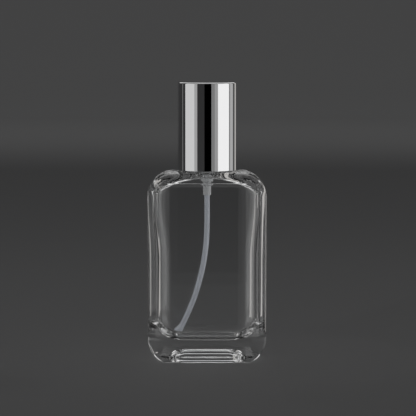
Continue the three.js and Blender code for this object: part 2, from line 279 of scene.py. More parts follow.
@dataclass(frozen=True)
class WhitePlastic:
    """Opaque white polypropylene, smooth from the mould with a faint ripple."""

    name: str = "white_polypropylene"
    shade: tuple[float, float, float] = (0.86, 0.86, 0.85)

    def build(self) -> bpy.types.Material:
        """Returns the material."""
        recipe = Recipe(self.name)
        recipe.set(IOR=1.49, Subsurface_Weight=0.25, Subsurface_Radius=(0.002, 0.002, 0.0018))
        recipe.set(Subsurface_Scale=1.0)
        flow = recipe.noise(recipe.place((1, 1, 0.4)), 700.0, 4.0)
        grain = recipe.noise(recipe.place(), 6000.0, 2.0)
        recipe.feed(recipe.spread(flow, 0.26, 0.4), "Roughness")
        creamy = tuple(c * 0.96 for c in self.shade)
        recipe.feed(recipe.tint(flow, creamy, self.shade), "Base Color")
        recipe.relief(grain, 0.000004, 0.35)
        return recipe.material


@dataclass(frozen=True)
class NaturalPlastic:
    """Unpigmented plastic: milky, and light passes through it."""

    name: str = "natural_plastic"
    dark: tuple[float, float, float] = (0.88, 0.90, 0.92)
    light: tuple[float, float, float] = (0.96, 0.97, 0.98)
    clearness: float = 0.25
    index: float = 1.5
    smooth: float = 0.12
    hazy: float = 0.2

    def build(self) -> bpy.types.Material:
        """Returns the material."""
        recipe = Recipe(self.name)
        recipe.set(IOR=self.index, Transmission_Weight=self.clearness)
        clouds = recipe.noise(recipe.place((1, 1, 0.3)), 500.0, 3.0)
        grain = recipe.noise(recipe.place(), 2600.0, 2.0)
        recipe.feed(recipe.spread(clouds, self.smooth, self.hazy), "Roughness")
        recipe.feed(recipe.tint(clouds, self.dark, self.light), "Base Color")
        recipe.relief(grain, 0.0000015, 0.25)
        return recipe.material


@dataclass(frozen=True)
class SealRubber:
    """Soft pale sealing rubber, matt and a little mottled."""

    def build(self) -> bpy.types.Material:
        """Returns the material."""
        recipe = Recipe("seal_rubber")
        mottle = recipe.noise(recipe.place(), 1800.0, 5.0, 0.6)
        recipe.feed(recipe.spread(mottle, 0.6, 0.85), "Roughness")
        recipe.feed(recipe.tint(mottle, (0.6, 0.6, 0.58), (0.72, 0.72, 0.7)), "Base Color")
        recipe.relief(mottle, 0.00002, 0.5)
        return recipe.material


class Finishes:
    """Builds each finish once, for the pieces to share."""

    def __init__(self) -> None:
        """Builds them all."""
        self.glass = ClearGlass().build()
        self.bright = BrightMetal().build()
        self.aluminium = SatinAluminium().build()
        self.steel = DrawnSteel().build()
        self.white = WhitePlastic().build()
        self.natural = NaturalPlastic().build()
        self.tube = NaturalPlastic(
            name="tube_polyethylene",
            dark=(0.84, 0.89, 0.97),
            light=(0.88, 0.92, 1.0),
            clearness=0.2,
            smooth=0.08,
            hazy=0.14,
        ).build()
        self.seal = SealRubber().build()


# ---------------------------------------------------------------- mesh work


@dataclass(frozen=True)
class Corner:
    """A corner of a turned profile, in millimetres: its radius, height and rounding."""

    radius: float
    z: float
    round: float = 0.0


STEPS_PER_QUARTER = 8
GUARD = 0.12  # a straight stretch's own normals start this far from a rounding


def softened(corners: Sequence[Corner], closed: bool) -> list[Vector]:
    """Rounds a profile's corners with arcs.

    Args:
        corners: the profile's corners in order.
        closed: whether the last corner runs on to the first.

    Returns:
        The points of the profile in the XZ plane, in metres.
    """
    spots = [Vector((c.radius, 0, c.z)) for c in corners]
    points: list[Vector] = []
    count = len(corners)
    for i, corner in enumerate(corners):
        here = spots[i]
        end = not closed and i in (0, count - 1)
        if end or corner.round <= 0:
            points.append(here * MM)
            continue
        back = (spots[i - 1] - here).normalized()
        ahead = (spots[(i + 1) % count] - here).normalized()
        half = back.angle(ahead) / 2
        reach = corner.round / math.tan(half)
        centre = here + (back + ahead).normalized() * (corner.round / math.sin(half))
        start = here + back * reach - centre
        turn = math.pi - 2 * half
        steps = max(2, math.ceil(STEPS_PER_QUARTER * turn / (math.pi / 2)))
        across = (here + ahead * reach - centre).normalized()
        away = start.normalized()
        points.append((centre + start + back * min(GUARD, reach)) * MM)
        for k in range(steps + 1):
            share = k / steps
            spoke = away.slerp(across, share)
            points.append((centre + spoke * corner.round) * MM)
        points.append((here + ahead * (reach + min(GUARD, reach))) * MM)
    return points


def finished(name: str, mesh: bmesh.types.BMesh, crease: float = 32.0) -> bpy.types.Object:
    """Turns a finished bmesh into a smooth-shaded object in the scene.

    Args:
        name: the piece's name.
        mesh: the bmesh, which is freed.
        crease: edges sharper than this many degrees stay sharp.

    Returns:
        The new object, at the origin.
    """
    bmesh.ops.remove_doubles(mesh, verts=mesh.verts, dist=1e-8)
    bmesh.ops.recalc_face_normals(mesh, faces=mesh.faces)
    data = bpy.data.meshes.new(name)
    mesh.to_mesh(data)
    mesh.free()
    data.shade_smooth()
    data.set_sharp_from_angle(angle=math.radians(crease))
    piece = bpy.data.objects.new(name, data)
    bpy.context.scene.collection.objects.link(piece)
    return piece


def spun(points: Sequence[Vector], closed: bool, steps: int = 96) -> bmesh.types.BMesh:
    """Turns a profile once round the Z axis.

    Args:
        points: the profile in the XZ plane, in metres.
        closed: whether it closes on itself.
        steps: how many steps the turn has.

    Returns:
        The turned bmesh.
    """
    mesh = bmesh.new()
    verts = [mesh.verts.new(p) for p in points]
    pairs = list(zip(verts, verts[1:]))
    if closed:
        pairs.append((verts[-1], verts[0]))
    edges = [mesh.edges.new(pair) for pair in pairs]
    bmesh.ops.spin(
        mesh,
        geom=[*verts, *edges],
        cent=(0, 0, 0),
        axis=(0, 0, 1),
        angle=FULL_TURN,
        steps=steps,
        use_merge=True,
    )
    bmesh.ops.remove_doubles(mesh, verts=mesh.verts, dist=1e-7)
    return mesh


def turned(name: str, corners: Sequence[Corner], steps: int = 96) -> bpy.types.Object:
    """Makes a turned piece from its profile, which closes on itself unless it meets the axis.

    Args:
        name: the piece's name.
        corners: the profile's corners, in millimetres.
        steps: how many steps the turn has.

    Returns:
        The new object.
    """
    closed = corners[0].radius > 0
    return finished(name, spun(softened(corners, closed), closed, steps))


def cut(piece: bpy.types.Object, cutter: bpy.types.Object) -> None:
    """Cuts one piece by another, which is then removed.

    Args:
        piece: the piece that keeps its name.
        cutter: the shape to take away.
    """
    modifier = piece.modifiers.new("cut", "BOOLEAN")
    modifier.operation = "DIFFERENCE"
    modifier.solver = "EXACT"
    modifier.object = cutter
    evaluated = piece.evaluated_get(bpy.context.evaluated_depsgraph_get())
    data = bpy.data.meshes.new_from_object(evaluated)
    piece.modifiers.clear()
    old = piece.data
    piece.data = data
    data.name = old.name
    bpy.data.meshes.remove(old)
    bpy.data.objects.remove(cutter)


def drill(name: str, radius: float, start_y: float, end_y: float, z: float) -> bpy.types.Object:
    """A cylinder along Y to cut with, in millimetres.

    Args:
        name: the object's name.
        radius: the hole's radius.
        start_y: where it starts.
        end_y: where it ends.
        z: its height.

    Returns:
        The new object.
    """
    mesh = bmesh.new()
    bmesh.ops.create_cone(
        mesh,
        cap_ends=True,
        segments=48,
        radius1=radius * MM,
        radius2=radius * MM,
        depth=(end_y - start_y) * MM,
    )
    bmesh.ops.rotate(
        mesh, verts=mesh.verts, cent=(0, 0, 0), matrix=QUARTER_ABOUT_X
    )
    bmesh.ops.translate(mesh, verts=mesh.verts, vec=(0, (start_y + end_y) / 2 * MM, z * MM))
    return finished(name, mesh)


QUARTER_ABOUT_X = Matrix.Rotation(math.radians(90), 3, "X")  # takes +Z to -Y


class RingSkin:
    """A skin grown ring by ring from one starting circle, every ring with as many vertices."""

    def __init__(self, first: Sequence[Vector]) -> None:
        """Starts from a circle whose vertices are moved onto the first ring."""
        self.mesh = bmesh.new()
        made = bmesh.ops.create_circle(self.mesh, cap_ends=False, segments=len(first), radius=1.0)
        self.ring: list[bmesh.types.BMVert] = made["verts"]
        self._move(first)
        self.first_ring = self.ring

    def _move(self, points: Sequence[Vector]) -> None:
        """Moves the newest ring's vertices onto these points."""
        for vert, point in zip(self.ring, points):
            vert.co = point

    def grow(self, points: Sequence[Vector]) -> None:
        """Extrudes the newest ring and moves the new one onto these points."""
        order = {vert: i for i, vert in enumerate(self.ring)}
        edges = [e for v in self.ring for e in v.link_edges if e.other_vert(v) in order]
        made = bmesh.ops.extrude_edge_only(self.mesh, edges=list(set(edges)))
        fresh = [g for g in made["geom"] if isinstance(g, bmesh.types.BMVert)]
        ring: list[bmesh.types.BMVert | None] = [None] * len(self.ring)
        for vert in fresh:
            old = next(e.other_vert(vert) for e in vert.link_edges if e.other_vert(vert) in order)
            ring[order[old]] = vert
        self.ring = ring
        self._move(points)

    def cap(self, ring: Sequence[bmesh.types.BMVert], centre: Vector) -> None:
        """Closes a ring with a fan of faces to a centre point."""
        members = set(ring)
        edges = {e for v in ring for e in v.link_edges if e.other_vert(v) in members}
        made = bmesh.ops.extrude_edge_only(self.mesh, edges=list(edges))
        fresh = [g for g in made["geom"] if isinstance(g, bmesh.types.BMVert)]
        bmesh.ops.pointmerge(self.mesh, verts=fresh, merge_co=centre)

    def bridge_ends(self) -> None:
        """Joins the newest ring to the first one."""
        rings = [self.first_ring, self.ring]
        edges = []
        for ring in rings:
            members = set(ring)
            edges += {e for v in ring for e in v.link_edges if e.other_vert(v) in members}
        bmesh.ops.bridge_loops(self.mesh, edges=edges)


# ---------------------------------------------------------------- glass


@dataclass(frozen=True)
class Section:
    """A level rounded-rectangle section through the glass, in millimetres."""

    width: float
    depth: float
    corner: float
    z: float

    def outline(self, sides: int) -> list[Vector]:
        """Points evenly spaced round each quarter, from the middle of the +X side."""
        quarter = sides // 4
        return [self._point(k // quarter, (k % quarter) / quarter) for k in range(sides)]

    def _point(self, turn: int, share: float) -> Vector:
        """The point at a share of one quarter's length, in metres."""
        mirrored = turn % 2 == 1
        along_y = self.depth - self.corner
        along_x = self.width - self.corner
        bend = self.corner * math.pi / 2
        s = (1 - share if mirrored else share) * (along_y + bend + along_x)
        if s <= along_y:
            x, y = self.width, s
        elif s < along_y + bend:
            angle = (s - along_y) / self.corner
            x = along_x + self.corner * math.cos(angle)
            y = along_y + self.corner * math.sin(angle)
        else:
            x, y = along_x - (s - along_y - bend), self.depth
        return Vector((-x if turn in (1, 2) else x, -y if turn >= 2 else y, self.z)) * MM


def blended(a: Section, b: Section, share: float) -> Section:
    """The section a share of the way from one to another."""
    mix = [p + (q - p) * share for p, q in zip(vars(a).values(), vars(b).values())]
    return Section(*mix)


@dataclass(frozen=True)
class Bend:
    """A rounded edge: how far it pulls in, and over what height."""

    inset: float
    rise: float

    def pull(self, left: float) -> float:
        """How far the edge has pulled in with this much height left before its flat."""
        share = max(0.0, 1 - left / self.rise)
        return self.inset * (1 - math.sqrt(max(0.0, 1 - share * share)))


def rounded_edge(
    side: Section,
    flat_z: float,
    across: Bend,
    through: Bend,
    corner: float,
    steps: int = 26,
) -> list[Section]:
    """Sections from an upright side over its rounded edges to a flat.

    Args:
        side: the section of the side.
        flat_z: the height of the flat.
        across: the rounding of the left and right edges.
        through: the rounding of the front and back edges.
        corner: the plan corner's radius on the flat.
        steps: how many steps it has.

    Returns:
        The sections, from the side to the flat.
    """
    tall = max(across.rise, through.rise)
    way = 1 if flat_z > side.z else -1
    sections = []
    for i in range(steps + 1):
        left = tall * (1 - math.sin(math.pi / 2 * i / steps))
        width = side.width - across.pull(left)
        depth = side.depth - through.pull(left)
        share = max(across.pull(left) / across.inset, through.pull(left) / through.inset)
        radius = side.corner + (corner - side.corner) * share
        radius = min(radius, 0.995 * width, 0.995 * depth)
        sections.append(Section(width, depth, radius, flat_z - way * left))
    return sections


@dataclass
class GlassBottle:
    """The one-piece glass: outside, recess under the base, neck, throat and cavity."""

    finishes: Finishes
    shoulder_z: float = 67.0
    neck_height: float = 8.5
    half_width: float = 21.3
    half_depth: float = 13.5
    corner: float = 11.9
    taper: float = 0.35
    shoulder_across: Bend = Bend(9.5, 9.5)
    shoulder_through: Bend = Bend(4.5, 4.5)
    shoulder_corner: float = 1.0
    foot_across: Bend = Bend(6.0, 7.2)
    foot_through: Bend = Bend(2.0, 2.2)
    foot_corner: float = 1.0
    floor_z: float = 7.8
    floor_crown: float = 0.3
    cavity_foot_across: Bend = Bend(7.2, 7.2)
    cavity_foot_through: Bend = Bend(3.4, 3.4)
    floor_corner: float = 3.0
    low_half_width: float = 17.1
    high_half_width: float = 18.0
    low_corner: float = 5.2
    high_corner: float = 4.0
    flare_start_z: float = 36.0
    flare_end_z: float = 57.0
    crown_z: float = 63.2
    crown_across: Bend = Bend(4.2, 4.4)
    crown_through: Bend = Bend(0.25, 1.6)
    cavity_half_depth: float = 11.5
    gable: tuple[tuple[float, float, float, float], ...] = (
        (13.7, 11.25, 3.8, 63.2),
        (11.7, 11.15, 4.2, 63.85),
        (9.4, 10.9, 5.2, 64.45),
        (7.4, 10.3, 5.9, 64.9),
        (5.9, 9.2, 5.7, 65.2),
        (5.0, 7.6, 4.95, 65.45),
        (4.55, 6.0, 4.5, 65.65),
        (4.35, 4.9, 4.33, 65.8),
    )
    throat_z: float = 66.1
    bore: float = 4.3
    punt_mouth: tuple[float, float, float] = (13.1, 8.8, 4.6)
    punt_across: Bend = Bend(3.9, 4.0)
    punt_through: Bend = Bend(2.4, 2.8)
    punt_corner: float = 2.6
    punt_rise: float = 4.6
    sides: int = 256

    @property
    def lip_z(self) -> float:
        """The height of the glass lip."""
        return self.shoulder_z + self.neck_height

    def recess(self) -> list[Section]:
        """The recess under the base, from its roof to its mouth."""
        mouth = Section(*self.punt_mouth, 0.0)
        wall = Section(mouth.width - 0.35, mouth.depth - 0.35, mouth.corner - 0.2, 0.5)
        dome = rounded_edge(
            wall, self.punt_rise, self.punt_across, self.punt_through, self.punt_corner
        )
        edge = dome[-1]
        roof = [
            Section(edge.width * k, edge.depth * k, edge.corner * k, edge.z + 0.15 * (1 - k * k))
            for k in (0.15, 0.4, 0.65, 0.85)
        ]
        lip = [
            Section(mouth.width - 0.2, mouth.depth - 0.2, mouth.corner - 0.1, 0.2),
            Section(mouth.width - 0.06, mouth.depth - 0.06, mouth.corner, 0.05),
        ]
        return [*roof, *dome[::-1], wall, *lip, mouth]

    def outside(self) -> list[Section]:
        """The outer skin, from the bearing ring to the edge of the shoulder's flat."""
        foot = Section(
            self.half_width - self.taper,
            self.half_depth - self.taper,
            self.corner - self.taper,
            self.foot_across.rise,
        )
        top = Section(
            self.half_width,
            self.half_depth,
            self.corner,
            self.shoulder_z - self.shoulder_across.rise,
        )
        lower = rounded_edge(foot, 0.0, self.foot_across, self.foot_through, self.foot_corner)[::-1]
        upper = rounded_edge(
            top,
            self.shoulder_z,
            self.shoulder_across,
            self.shoulder_through,
            self.shoulder_corner,
            steps=32,
        )
        side = [blended(foot, top, share) for share in (0.02, 0.06, 0.25, 0.5, 0.75, 0.94, 0.98)]
        return [*lower, *side, *upper]

    def neck(self) -> list[Section]:
        """The crimp neck, from the shoulder's flat over the lip to the bore."""
        lip = self.lip_z
        corners = [
            Corner(8.6, self.shoulder_z + 0.02),
            Corner(6.6, self.shoulder_z + 0.05, 0.8),
            Corner(6.6, lip - 3.9, 0.3),
            Corner(7.35, lip - 3.4, 0.35),
            Corner(7.35, lip, 0.6),
            Corner(self.bore, lip, 0.6),
            Corner(self.bore, self.throat_z + 0.6),
        ]
        return [self._round(p.x / MM, p.z / MM) for p in softened(corners, closed=False)]

    def cavity_side(self, z: float) -> Section:
        """The cavity's section at a height up its side."""
        share = (z - self.flare_start_z) / (self.flare_end_z - self.flare_start_z)
        share = min(max(share, 0.0), 1.0)
        share = share * share * (3 - 2 * share)
        width = self.low_half_width + (self.high_half_width - self.low_half_width) * share
        corner = self.low_corner + (self.high_corner - self.low_corner) * share
        return Section(width, self.cavity_half_depth, corner, z)

    def cavity(self) -> list[Section]:
        """The throat, the cavity's crown and sides, and its foot, from the top down."""
        throat = self._round(self.bore, self.throat_z)
        side_top = self.crown_z - self.crown_across.rise
        crown = rounded_edge(
            self.cavity_side(side_top),
            self.crown_z,
            self.crown_across,
            self.crown_through,
            self.gable[0][2],
        )[::-1]
        knots = [throat, *(Section(*row) for row in reversed(self.gable))]
        slope = []
        for a, b in zip(knots, knots[1:]):
            slope += [blended(a, b, k / 4) for k in range(4)]
        foot_z = self.floor_z + self.cavity_foot_across.rise
        side_steps = 30
        side = [
            self.cavity_side(side_top + (foot_z - side_top) * i / side_steps)
            for i in range(1, side_steps)
        ]
        foot = rounded_edge(
            self.cavity_side(foot_z),
            self.floor_z,
            self.cavity_foot_across,
            self.cavity_foot_through,
            self.floor_corner,
        )
        return [throat, *slope[1:], *crown, *side, *foot, *self._floor(foot[-1])]

    def _floor(self, edge: Section) -> list[Section]:
        """The crowned floor, from its edge inwards."""
        return [
            Section(
                edge.width * k,
                edge.depth * k,
                edge.corner * k,
                edge.z + self.floor_crown * (1 - k * k),
            )
            for k in (0.85, 0.65, 0.4, 0.15)
        ]

    @staticmethod
    def _round(radius: float, z: float) -> Section:
        """A round section."""
        return Section(radius, radius, radius, z)

    def build(self) -> list[bpy.types.Object]:
        """Builds the glass and returns it."""
        sections = [*self.recess(), *self.outside(), *self.neck(), *self.cavity()]
        skin = RingSkin(sections[0].outline(self.sides))
        for section in sections[1:]:
            skin.grow(section.outline(self.sides))
        roof_centre = Vector((0, 0, self.punt_rise + 0.15)) * MM
        floor_centre = Vector((0, 0, self.floor_z + self.floor_crown)) * MM
        skin.cap(skin.first_ring, roof_centre)
        skin.cap(skin.ring, floor_centre)
        glass = finished("flint_glass_body", skin.mesh, crease=60.0)
        dress(glass, self.finishes.glass, Body.BOTTLE, Slot.GLASS, "glass_bottle")
        # clear glass lets the light through to the pump inside it
        glass.visible_shadow = False
        return [glass]


def dress(
    piece: bpy.types.Object,
    material: bpy.types.Material,
    body: Body,
    slot: Slot,
    *nodes: str,
) -> None:
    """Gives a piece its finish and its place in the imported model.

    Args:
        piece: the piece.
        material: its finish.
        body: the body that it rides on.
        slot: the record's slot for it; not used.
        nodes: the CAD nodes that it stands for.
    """
    piece.data.materials.clear()
    piece.data.materials.append(material)
    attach(piece, body.value)
    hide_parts(*nodes)


# ---------------------------------------------------------------- pump


@dataclass
class Pump:
    """The crimped pump: everything between the glass lip and the button, and the chamber below."""

    finishes: Finishes
    lip_z: float = 75.5
    chamber: float = 2.75
    chamber_wall: float = 0.85
    ball: float = 1.2
    stem_radius: float = 1.5
    stem_bore: float = 0.7
    nipple_bore: float = 1.05

    def at(self, radius: float, height: float, round: float = 0.0) -> Corner:
        """A profile corner at a height above the glass lip."""
        return Corner(radius, self.lip_z + height, round)

    def housing(self) -> bpy.types.Object:
        """The moulded housing: flange, chamber, ball seat and dip tube nipple."""
        outer = self.chamber + self.chamber_wall
        ball_bore = self.ball + 0.3
        return turned(
            "pump_body_moulding",
            [
                self.at(1.45, -17.0, 0.12),
                self.at(1.45, -13.4, 0.15),
                self.at(2.2, -13.2, 0.5),
                self.at(2.2, -11.5, 0.1),
                self.at(2.55, -11.3, 0.1),
                self.at(2.55, -9.7, 0.2),
                self.at(outer, -9.0, 0.3),
                self.at(outer, 1.06, 0.1),
                self.at(7.3, 1.06, 0.15),
                self.at(7.3, 2.2, 0.15),
                self.at(outer, 2.2, 0.1),
                self.at(outer, 4.5, 0.1),
                self.at(self.chamber, 4.5, 0.15),
                self.at(self.chamber, -9.9, 0.15),
                self.at(ball_bore, -9.9, 0.1),
                self.at(ball_bore, -11.8, 0.1),
                self.at(0.6, -12.6, 0.1),
                self.at(0.6, -13.2, 0.1),
                self.at(self.nipple_bore, -13.4, 0.05),
                self.at(self.nipple_bore, -17.0, 0.1),
            ],
        )

    def gasket(self) -> bpy.types.Object:
        """The soft ring that the flange squeezes onto the glass lip."""
        corners = [self.at(6.9, 0.06, 0.2), self.at(6.9, 1.0, 0.2), self.at(4.7, 1.0, 0.2)]
        return turned("neck_sealing_ring", [*corners, self.at(4.7, 0.06, 0.2)])

    def ferrule(self) -> bpy.types.Object:
        """The thin aluminium cup, crimped in under the neck bead."""
        outer, wall, turret = 7.95, 0.4, 4.45
        return turned(
            "crimped_ferrule_cup",
            [
                self.at(6.95, -4.5, 0.05),
                self.at(7.35, -4.6, 0.2),
                self.at(outer, -3.6, 0.4),
                self.at(outer, 2.7, 0.6),
                self.at(turret, 2.7, 0.3),
                self.at(turret, 7.3, 0.5),
                self.at(2.4, 7.3, 0.15),
                self.at(2.4, 6.9, 0.15),
                self.at(turret - wall, 6.9, 0.15),
                self.at(turret - wall, 2.3, 0.4),
                self.at(outer - wall, 2.3, 0.25),
                self.at(outer - wall, -3.4, 0.15),
                self.at(6.95, -4.1, 0.05),
            ],
        )

    def collar(self) -> bpy.types.Object:
        """The bright trim ring that hides the crimp and carries the cap."""
        radius, wall, top, bottom = 8.6, 0.45, 3.6, -8.2
        return turned(
            "bright_trim_collar",
            [
                self.at(radius, bottom, 0.15),
                self.at(radius, top, 0.5),
                self.at(7.0, top, 0.2),
                self.at(7.0, top - wall, 0.15),
                self.at(radius - wall, top - wall, 0.3),
                self.at(radius - wall, bottom, 0.15),
            ],
            steps=128,
        )

    def seal(self) -> bpy.types.Object:
        """The soft ring round the stem."""
        bore = self.stem_radius + 0.06
        corners = [self.at(3.85, 4.6, 0.15), self.at(3.85, 5.2, 0.15), self.at(bore, 5.2, 0.15)]
        return turned("stem_sealing_ring", [*corners, self.at(bore, 4.6, 0.15)])

    def guide(self) -> bpy.types.Object:
        """The bush that keeps the stem upright."""
        bore = self.stem_radius + 0.08
        return turned(
            "stem_bush",
            [
                self.at(3.85, 5.3, 0.1),
                self.at(3.85, 6.4, 0.1),
                self.at(3.55, 6.8, 0.1),
                self.at(bore, 6.8, 0.2),
                self.at(bore, 5.3, 0.1),
            ],
        )

    def stem(self) -> bpy.types.Object:
        """The hollow stem with its flange."""
        radius, bore = self.stem_radius, self.stem_bore
        return turned(
            "hollow_stem",
            [
                self.at(radius, -1.6, 0.1),
                self.at(radius, 3.8, 0.1),
                self.at(2.2, 3.8, 0.1),
                self.at(2.2, 4.4, 0.1),
                self.at(radius, 4.4, 0.1),
                self.at(radius, 15.2, 0.2),
                self.at(bore, 15.2, 0.1),
                self.at(bore, -1.6, 0.1),
            ],
            steps=64,
        )

    def spool(self) -> bpy.types.Object:
        """The plug under the stem that the piston closes on."""
        return turned(
            "valve_plug",
            [
                self.at(0, -4.8),
                self.at(1.3, -4.8, 0.15),
                self.at(1.4, -3.6, 0.1),
                self.at(2.1, -3.6, 0.1),
                self.at(2.1, -2.9, 0.15),
                self.at(0.6, -2.7, 0.1),
                self.at(0.6, 1.0, 0.15),
                self.at(0, 1.1),
            ],
            steps=64,
        )

    def piston(self) -> bpy.types.Object:
        """The soft piston with a lip at each end."""
        lip, bore = self.chamber - 0.07, self.stem_radius + 0.06
        return turned(
            "lipped_piston",
            [
                self.at(2.2, -2.5, 0.05),
                self.at(lip, -2.7, 0.05),
                self.at(lip, -2.1, 0.15),
                self.at(2.35, -1.6, 0.2),
                self.at(2.35, -0.4, 0.2),
                self.at(lip, 0.1, 0.1),
                self.at(lip, 0.5, 0.1),
                self.at(bore, 0.5, 0.1),
                self.at(bore, -2.5, 0.1),
            ],
            steps=64,
        )

    def check_ball(self) -> bpy.types.Object:
        """The steel ball on its seat."""
        mesh = bmesh.new()
        bmesh.ops.create_icosphere(mesh, subdivisions=4, radius=self.ball * MM)
        bmesh.ops.translate(mesh, verts=mesh.verts, vec=(0, 0, (self.lip_z - 11.5) * MM))
        return finished("steel_check_ball", mesh)

    def coil(
        self, name: str, radius: float, wire: float, turns: int, low: float, high: float
    ) -> bpy.types.Object:
        """A coil spring made by turning a wire's section up round the axis.

        Args:
            name: the piece's name.
            radius: from the axis to the middle of the wire.
            wire: the wire's radius.
            turns: how many turns it has.
            low: the middle of the wire at the bottom, above the lip.
            high: the same at the top.

        Returns:
            The new object.
        """
        steps = 40 * turns
        mesh = bmesh.new()
        made = bmesh.ops.create_circle(mesh, cap_ends=True, segments=12, radius=wire * MM)
        verts = made["verts"]
        bmesh.ops.rotate(mesh, verts=verts, cent=(0, 0, 0), matrix=QUARTER_ABOUT_X)
        bmesh.ops.translate(mesh, verts=verts, vec=(radius * MM, 0, (self.lip_z + low) * MM))
        faces = list(mesh.faces)
        made = bmesh.ops.spin(
            mesh,
            geom=[*mesh.verts, *mesh.edges, *faces],
            cent=(0, 0, 0),
            axis=(0, 0, 1),
            dvec=(0, 0, (high - low) / steps * MM),
            angle=FULL_TURN * turns,
            steps=steps,
            use_merge=False,
        )
        return finished(name, mesh, crease=50.0)

    def build(self) -> list[bpy.types.Object]:
        """Builds the pump's pieces and returns them."""
        f = self.finishes
        rest = self.coil("lift_spring", 2.2, 0.2, 5, -9.65, -3.9)
        preload = self.coil("seat_spring", 2.0, 0.2, 3, 0.75, 3.65)
        plan = [
            (self.housing(), f.natural, Body.BOTTLE, Slot.NATURAL, "pump_housing"),
            (self.gasket(), f.seal, Body.BOTTLE, Slot.SEAL, "neck_gasket"),
            (self.ferrule(), f.aluminium, Body.BOTTLE, Slot.FERRULE, "crimp_ferrule"),
            (self.collar(), f.bright, Body.BOTTLE, Slot.BRIGHT, "collar"),
            (self.seal(), f.seal, Body.BOTTLE, Slot.SEAL, "stem_seal"),
            (self.guide(), f.white, Body.BOTTLE, Slot.WHITE, "stem_guide"),
            (self.stem(), f.white, Body.STEM, Slot.WHITE, "stem"),
            (self.spool(), f.white, Body.STEM, Slot.WHITE, "valve_spool"),
            (self.piston(), f.natural, Body.PISTON, Slot.NATURAL, "piston"),
            (self.check_ball(), f.steel, Body.BALL, Slot.STEEL, "inlet_ball"),
            (rest, f.steel, Body.BOTTLE, Slot.STEEL, "return_spring"),
            (preload, f.steel, Body.STEM, Slot.STEEL, "precompression_spring"),
        ]
        for piece, finish, body, slot, node in plan:
            dress(piece, finish, body, slot, node)
        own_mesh(rest)
        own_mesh(preload)
        return [row[0] for row in plan]


@dataclass
class DipTube:
    """The thin tube from the nipple, curving to the left of the cavity's floor."""

    finishes: Finishes
    outer: float = 0.96
    inner: float = 0.62
    sides: int = 40
    steps: int = 120
    route: tuple[tuple[float, float], ...] = (
        (0, 61.8),
        (0, 55.5),
        (0, 49.3),
        (-0.18, 43.1),
        (-0.6, 38.6),
        (-1.52, 33.0),
        (-2.84, 27.5),
        (-4.45, 22.2),
        (-6.4, 17.3),
        (-8.2, 13.4),
        (-9.8, 10.0),
    )

    def centreline(self) -> list[Vector]:
        """The route as closely spaced points on a smooth curve, in metres."""
        spots = [Vector((x, 0, z)) * MM for x, z in self.route]
        ends = [spots[0] * 2 - spots[1], *spots, spots[-1] * 2 - spots[-2]]
        points = []
        for i in range(self.steps + 1):
            t = i / self.steps * (len(spots) - 1)
            k = min(int(t), len(spots) - 2)
            points.append(self._between(ends[k : k + 4], t - k))
        return points

    @staticmethod
    def _between(four: Sequence[Vector], t: float) -> Vector:
        """A point between the middle two of four, on the curve through them all."""
        a, b, c, d = four
        linear = (c - a) * t
        square = (a * 2 - b * 5 + c * 4 - d) * t**2
        cube = (b * 3 - a - c * 3 + d) * t**3
        return (b * 2 + linear + square + cube) / 2

    def _ring(self, centre: Vector, along: Vector, radius: float) -> list[Vector]:
        """A ring of points square to the route."""
        side = Vector((0, 1, 0))
        across = side.cross(along).normalized()
        spokes = [FULL_TURN * k / self.sides for k in range(self.sides)]
        return [
            centre + (across * math.cos(a) + side * math.sin(a)) * radius * MM for a in spokes
        ]

    def build(self) -> list[bpy.types.Object]:
        """Builds the tube and returns it."""
        line = self.centreline()
        ways = [(b - a).normalized() for a, b in zip(line, line[1:])]
        ways.append(ways[-1])
        route = list(zip(line, ways))
        rings = [self._ring(p, way, self.outer) for p, way in route]
        rings += [self._ring(p, way, self.inner) for p, way in reversed(route)]
        skin = RingSkin(rings[0])
        for ring in rings[1:]:
            skin.grow(ring)
        skin.bridge_ends()
        tube = finished("curved_dip_tube", skin.mesh, crease=50.0)
        dress(tube, self.finishes.tube, Body.BOTTLE, Slot.TUBE, "dip_tube")
        return [tube]


# ---------------------------------------------------------------- button and cap


